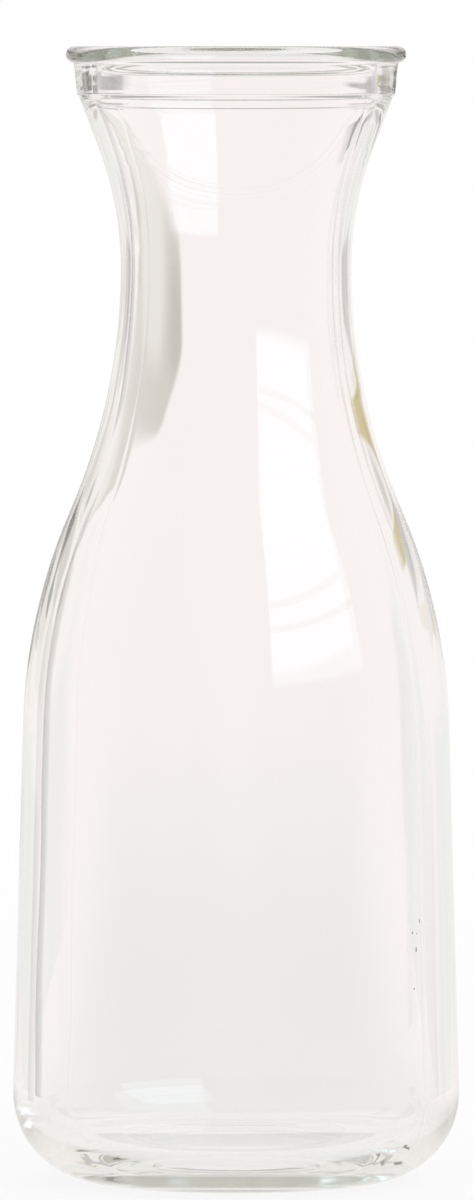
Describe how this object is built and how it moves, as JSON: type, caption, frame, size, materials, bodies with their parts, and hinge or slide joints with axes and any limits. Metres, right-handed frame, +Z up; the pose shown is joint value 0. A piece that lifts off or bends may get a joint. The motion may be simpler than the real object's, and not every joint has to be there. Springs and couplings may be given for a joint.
{
  "type": "wine carafe",
  "caption": "Round clear glass wine carafe with a thick rounded base, sloping shoulders, a narrow throat and a flared mouth with a beaded rim, for serving wine or water.",
  "frame": {"origin": "centre of the underside, on the plane of the ring that the carafe stands on", "axes": "+Z up along the axis of the carafe, towards the mouth; +X and +Y are any two level directions, as the carafe is round"},
  "size_m": [0.1024, 0.1024, 0.26],
  "materials": {
    "clear_glass": "clear, fire-polished"
  },
  "bodies": {
    "root": {"base": "clear_glass", "body_wall": "clear_glass", "shoulder": "clear_glass", "neck": "clear_glass", "collar": "clear_glass", "rim_bead": "clear_glass"}
  },
  "joints": []
}
